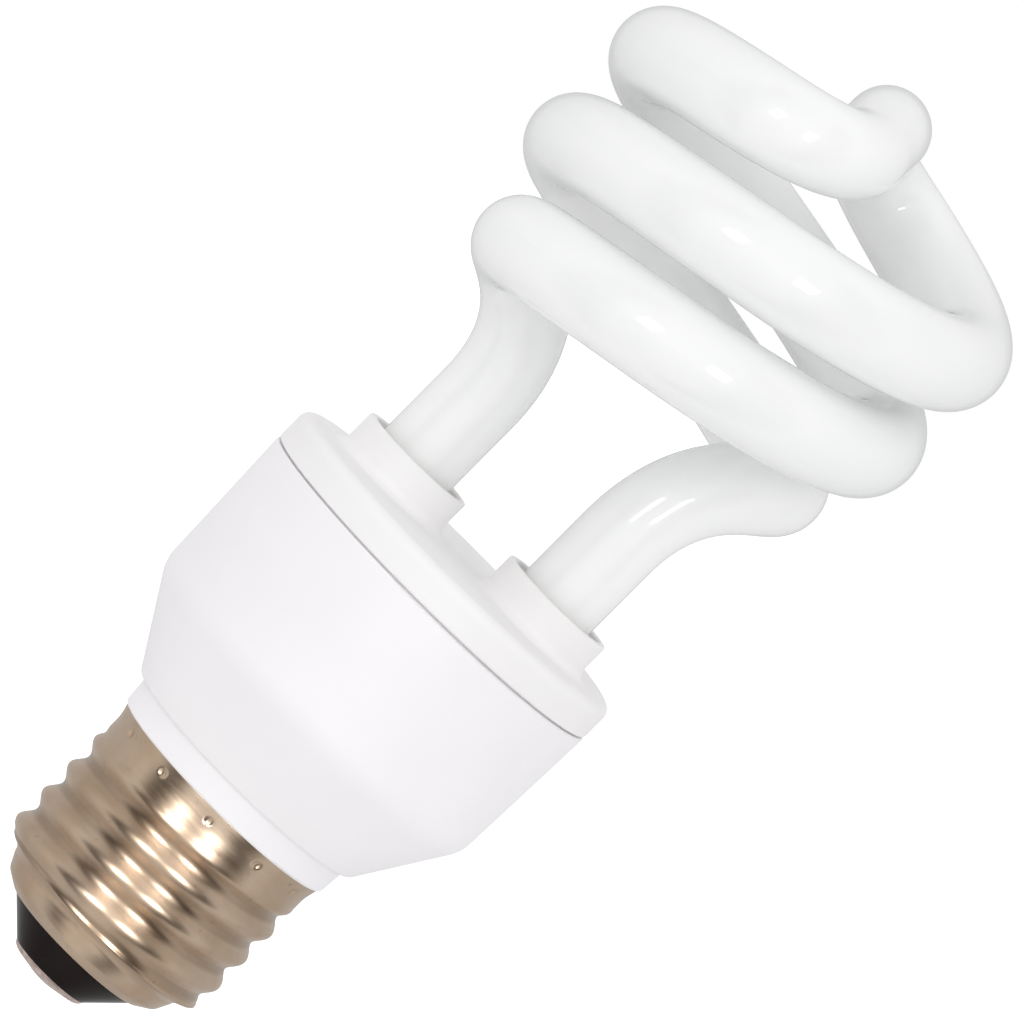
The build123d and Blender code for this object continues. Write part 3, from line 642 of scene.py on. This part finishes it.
def grained(name, light, dark, grain, rough, height, metallic=0.0, ior=1.5, stretch=(1, 1, 1)):
    """Two colours mixed by noise with a grain size in mm, which also gives roughness and a bump in mm."""
    material, tree = new_material(name)
    place = add(tree, "ShaderNodeTexCoord")
    scale = add(tree, "ShaderNodeMapping", inputs={"Vector": place.outputs["Object"], "Scale": stretch})
    noise = add(tree, "ShaderNodeTexNoise",
                inputs={"Vector": scale.outputs[0], "Scale": per(grain), "Detail": 4})
    spread = add(tree, "ShaderNodeMapRange",
                 inputs={"Value": noise.outputs[0], "From Min": 0.3, "From Max": 0.7})
    colour = add(tree, "ShaderNodeMix", {"data_type": "RGBA"},
                 {"Factor": spread.outputs[0], "A": paint(light), "B": paint(dark)})
    least, most = (rough * share for share in GLOSS_SHARES)
    gloss = add(tree, "ShaderNodeMapRange",
                inputs={"Value": noise.outputs[0], "To Min": least, "To Max": most})
    bump = add(tree, "ShaderNodeBump",
               inputs={"Strength": 0.5, "Distance": height * MM, "Height": noise.outputs[0]})
    shader = add(tree, "ShaderNodeBsdfPrincipled", inputs={
        "Base Color": colour.outputs["Result"], "Metallic": metallic, "Roughness": gloss.outputs[0],
        "Normal": bump.outputs[0],
    })
    if not metallic:
        shader.inputs["IOR"].default_value = ior
    add(tree, "ShaderNodeOutputMaterial", inputs={"Surface": shader.outputs[0]})
    return material


# %% One finish for each slot
# A grained row gives its light and dark colours, its grain in mm, its roughness and its height in mm
finishes = {
    "coated_glass": coated_glass(),
    "housing_plastic": moulded("moulded_polyester_housing", "#F4F2F4", "#EFEDF0", 0.66),
    "lid_plastic": moulded("moulded_polyester_lid", "#F2F1F1", "#EDEBEB", 0.7),
    "nickel_plate": nickel(),
    "black_glass": grained("poured_black_glass", "#180E0B", "#110907", 2.0, 0.2, 0.02, ior=1.15),
    "contact_metal": grained("soldered_brass", "#E2D0C8", "#B8A69E", 0.8, 0.4, 0.03, metallic=1.0),
    "cement": grained("gypsum_cement", "#DDD6C6", "#C9C0AD", 0.3, 0.85, 0.04),
    "board": grained("phenolic_paper_board", "#A87A45", "#8E6233", 0.4, 0.55, 0.01, stretch=(1, 0.3, 1)),
    "can_sleeve": grained("shrunk_vinyl_sleeve", "#202124", "#17181A", 3.0, 0.3, 0.01),
    "ferrite": grained("sintered_ferrite", "#4A4A4C", "#39393B", 0.25, 0.6, 0.02),
    "bobbin_plastic": grained("black_nylon", "#262626", "#1C1C1C", 0.5, 0.5, 0.01),
    "enamelled_copper": grained("enamelled_copper_wire", "#B4642E", "#8A4320", 0.25, 0.25, 0.05,
                                metallic=1.0, stretch=(0.1, 0.1, 1)),
    "epoxy": grained("moulded_black_epoxy", "#222223", "#19191A", 0.15, 0.6, 0.01),
    "film_coating": grained("dipped_red_epoxy", "#A8481F", "#8F3817", 1.5, 0.2, 0.02),
    "disc_coating": grained("dipped_blue_resin", "#2F5FA0", "#254E88", 1.0, 0.35, 0.02),
    "resistor_coating": grained("tan_resistor_lacquer", "#CDB48E", "#B99E76", 0.8, 0.3, 0.01),
    "trigger_glass": grained("blue_tinted_glass", "#5A6CB0", "#48599C", 1.0, 0.08, 0.005),
    "tinned_wire": grained("tinned_copper_wire", "#CFCFD0", "#B5B5B7", 0.4, 0.25, 0.01, metallic=1.0),
    "wire_insulation": grained("red_vinyl_insulation", "#C8352B", "#B02A22", 1.2, 0.4, 0.005),
}
for part in frame["record"]["subparts"]:
    mesh = frame["nodes"][part["node"]].data
    mesh.materials.clear()
    mesh.materials.append(finishes[part["material_slot"]])
glass_tube.data.materials.append(finishes["coated_glass"])
rolled_shell.data.materials.append(finishes["nickel_plate"])
print("finishes:", len(finishes))

# %% [markdown]
# ## Camera
# The photograph was taken from far off with a long lens, a little above the bulb, and the picture then leans
# the bulb over to the right. So the camera stands a metre away, looks at a point on the bulb's axis, and is
# rolled about its own line of sight.

# %% Camera
VIEW_AZIMUTH = math.radians(8.7)
VIEW_ELEVATION = math.radians(4.8)
VIEW_ROLL = math.radians(44.9)
VIEW_DISTANCE = 1.0
VIEW_WIDTH = 100.2 * MM
SIGHT_HEIGHT = 65.3 * MM
SIGHT_ASIDE = 0.4 * MM
SENSOR = 36.0
CLIP_NEAR = 0.05
CLIP_FAR = 20


def direction(azimuth, elevation):
    """Unit vector from the bulb: azimuth 0 is -Y and grows towards +X, and elevation is above the level."""
    level = math.cos(elevation)
    return Vector((math.sin(azimuth) * level, -math.cos(azimuth) * level, math.sin(elevation)))


back = direction(VIEW_AZIMUTH, VIEW_ELEVATION)
right = direction(VIEW_AZIMUTH + math.pi / 2, 0)
SIGHT = Vector((0, 0, SIGHT_HEIGHT)) + right * SIGHT_ASIDE
lens = bpy.data.cameras.new("camera")
lens.sensor_width = SENSOR
lens.lens = SENSOR * VIEW_DISTANCE / VIEW_WIDTH
lens.clip_start = CLIP_NEAR
lens.clip_end = CLIP_FAR
camera = bpy.data.objects.new("camera", lens)
camera.rotation_mode = "QUATERNION"
camera.location = SIGHT + back * VIEW_DISTANCE
camera.rotation_quaternion = (-back).to_track_quat("-Z", "Y") @ Quaternion((0, 0, 1), VIEW_ROLL)
scene.collection.objects.link(camera)
scene.camera = camera
print("lens, mm:", round(lens.lens, 1))

# %% [markdown]
# ## Light
# The bright spots on the glass come in pairs, so two soft boxes stood either side of the camera. A box is far
# brighter in a mirror than the light it spreads, so each has a second lamp that only gloss sees.

# %% Soft boxes
BOX_DISTANCE = 0.85
BOX_SIZE = (0.12, 0.26)
BOX_POWER = 0.3
GLARE_POWER = 5.2
BOX_SIDES = (-16.0, 21.0)
BOX_ELEVATION = 14.0


def hang_lamp(name, side, power):
    """Rectangular lamp facing the bulb, a number of degrees to one side of the camera."""
    lamp = bpy.data.lights.new(name, "AREA")
    lamp.shape = "RECTANGLE"
    lamp.size, lamp.size_y = BOX_SIZE
    lamp.energy = power
    box = bpy.data.objects.new(name, lamp)
    towards = direction(VIEW_AZIMUTH + math.radians(side), math.radians(BOX_ELEVATION))
    box.location = SIGHT + towards * BOX_DISTANCE
    box.rotation_mode = "QUATERNION"
    box.rotation_quaternion = (-towards).to_track_quat("-Z", "Y")
    box.visible_camera = False
    scene.collection.objects.link(box)
    return box


for side in BOX_SIDES:
    hang_lamp("soft_box", side, BOX_POWER)
    hang_lamp("box_glare", side, GLARE_POWER).visible_diffuse = False
print("soft boxes, degrees from the camera:", BOX_SIDES)

# %% [markdown]
# The boxes stood in a pale room, and the world is that room. It could light the bulb as brightly as it looks,
# but then the white plastic would clip. So it shows white to the camera and in reflections, and lights the
# bulb a little less than white.

# %% Pale room
ROOM_LIGHT = 0.99

scene.view_settings.view_transform = "Standard"
room = bpy.data.worlds.new("pale_room")
room.use_nodes = True
room.node_tree.nodes.clear()
scene.world = room


def seen_white(tree):
    """1 for camera, glossy and transmission rays, 0 for the rays that light the bulb."""
    path = add(tree, "ShaderNodeLightPath")
    first = add(tree, "ShaderNodeMath", {"operation": "ADD"},
                {0: path.outputs["Is Camera Ray"], 1: path.outputs["Is Glossy Ray"]})
    return add(tree, "ShaderNodeMath", {"operation": "ADD", "use_clamp": True},
               {0: first.outputs[0], 1: path.outputs["Is Transmission Ray"]}).outputs[0]


tree = room.node_tree
lit = add(tree, "ShaderNodeBackground", inputs={"Color": paint("#FFFFFF"), "Strength": ROOM_LIGHT})
shown = add(tree, "ShaderNodeBackground", inputs={"Color": paint("#FFFFFF"), "Strength": 1.0})
choice = add(tree, "ShaderNodeMixShader",
             inputs={0: seen_white(tree), 1: lit.outputs[0], 2: shown.outputs[0]})
add(tree, "ShaderNodeOutputWorld", inputs={"Surface": choice.outputs[0]})
print("room light:", ROOM_LIGHT)

# %% [markdown]
# Under the bulb lies white paper. Matt paper alone would render grey, so a glow that only the camera and
# clear glass see brings it up to white, and the light that it sends to the bulb stays that of plain paper.

# %% Paper floor
FLOOR_SIZE = 4.0
FLOOR_DROP = 32 * MM
FLOOR_GLOW = 0.45


def plain_mesh(name, points, faces, material):
    """Object from points and faces, with one material."""
    mesh = bpy.data.meshes.new(name)
    mesh.from_pydata(points, [], faces)
    mesh.materials.append(material)
    made = bpy.data.objects.new(name, mesh)
    scene.collection.objects.link(made)
    return made


paper, tree = new_material("white_paper_floor")
matt = add(tree, "ShaderNodeBsdfDiffuse", inputs={"Color": paint("#F2F2F2")})
mask = add(tree, "ShaderNodeMath", {"operation": "MULTIPLY"}, {0: seen_white(tree), 1: FLOOR_GLOW})
glow = add(tree, "ShaderNodeEmission", inputs={"Color": paint("#FFFFFF"), "Strength": mask.outputs[0]})
total = add(tree, "ShaderNodeAddShader", inputs={0: matt.outputs[0], 1: glow.outputs[0]})
add(tree, "ShaderNodeOutputMaterial", inputs={"Surface": total.outputs[0]})
half = FLOOR_SIZE / 2
sheet_corners = [(x, y, -FLOOR_DROP) for x, y in ((-half, -half), (half, -half), (half, half), (-half, half))]
floor = plain_mesh("floor", sheet_corners, [(0, 1, 2, 3)], paper)
floor.visible_glossy = False
print("floor, m:", FLOOR_SIZE)

# %% [markdown]
# The metal also mirrors the rest of the studio: a dark strip outside each box, and walls that are dimmer
# towards the back. A round screen of felt stands for them, thick where the studio is dark and thin where it
# is light. It is seen only in reflections, and its far side draws the thin dark line at the edges of the
# glass.

# %% Felt screen
SCREEN_DISTANCE = 1.2
SCREEN_STEPS = 121
SCREEN_HEIGHTS = (-88, 76)
SCREEN_ROUND = (-180, 180)
SCREEN_FADE = 0.12
SCREEN_TURNS = (-180, -140, -100, -66, -53, -36, -28, 28, 37, 57, 70, 100, 140, 180)
SCREEN_VEIL = (0.38, 0.42, 0.35, 0.1, 1.0, 1.0, 0.3, 0.3, 1.0, 1.0, 0.14, 0.37, 0.41, 0.38)

dark, tree = new_material("dark_felt_screen")
thickness = add(tree, "ShaderNodeAttribute", {"attribute_name": "veil"})
felt = add(tree, "ShaderNodeBsdfDiffuse", inputs={"Color": paint("#3E3733")})
clear = add(tree, "ShaderNodeBsdfTransparent")
hung = add(tree, "ShaderNodeMixShader",
           inputs={0: thickness.outputs["Fac"], 1: clear.outputs[0], 2: felt.outputs[0]})
add(tree, "ShaderNodeOutputMaterial", inputs={"Surface": hung.outputs[0]})
part_way = np.linspace(0, 1, SCREEN_STEPS)
number = np.arange(SCREEN_STEPS**2).reshape(SCREEN_STEPS, SCREEN_STEPS)
tiles = np.stack([number[:-1, :-1], number[:-1, 1:], number[1:, 1:], number[1:, :-1]], axis=-1)


def between(span):
    """Even steps in radians from the first angle of a span in degrees to the last."""
    return np.radians(span[0] + (span[1] - span[0]) * part_way)


def fade_in(width):
    """0 at both ends of a span and 1 inside it, eased over a share of the span."""
    return ease(np.minimum(part_way, 1 - part_way) / width)


turns = between(SCREEN_ROUND)
sideways = VIEW_AZIMUTH + turns[None, :]
upwards = between(SCREEN_HEIGHTS)[:, None]
towards = np.stack([np.cos(upwards) * np.sin(sideways), -np.cos(upwards) * np.cos(sideways),
                    np.sin(upwards) + 0 * sideways], axis=-1)
points = towards * SCREEN_DISTANCE + np.array([0, 0, SIGHT_HEIGHT])
screen = plain_mesh("screen", points.reshape(-1, 3).tolist(), tiles.reshape(-1, 4).tolist(), dark)
thick = fade_in(SCREEN_FADE)[:, None] * np.interp(np.degrees(turns), SCREEN_TURNS, SCREEN_VEIL)[None, :]
veil = screen.data.attributes.new("veil", "FLOAT", "POINT")
veil.data.foreach_set("value", thick.ravel().astype(np.float32))
screen.visible_camera = False
screen.visible_diffuse = False
screen.visible_shadow = False
print("screen tiles:", len(screen.data.polygons))
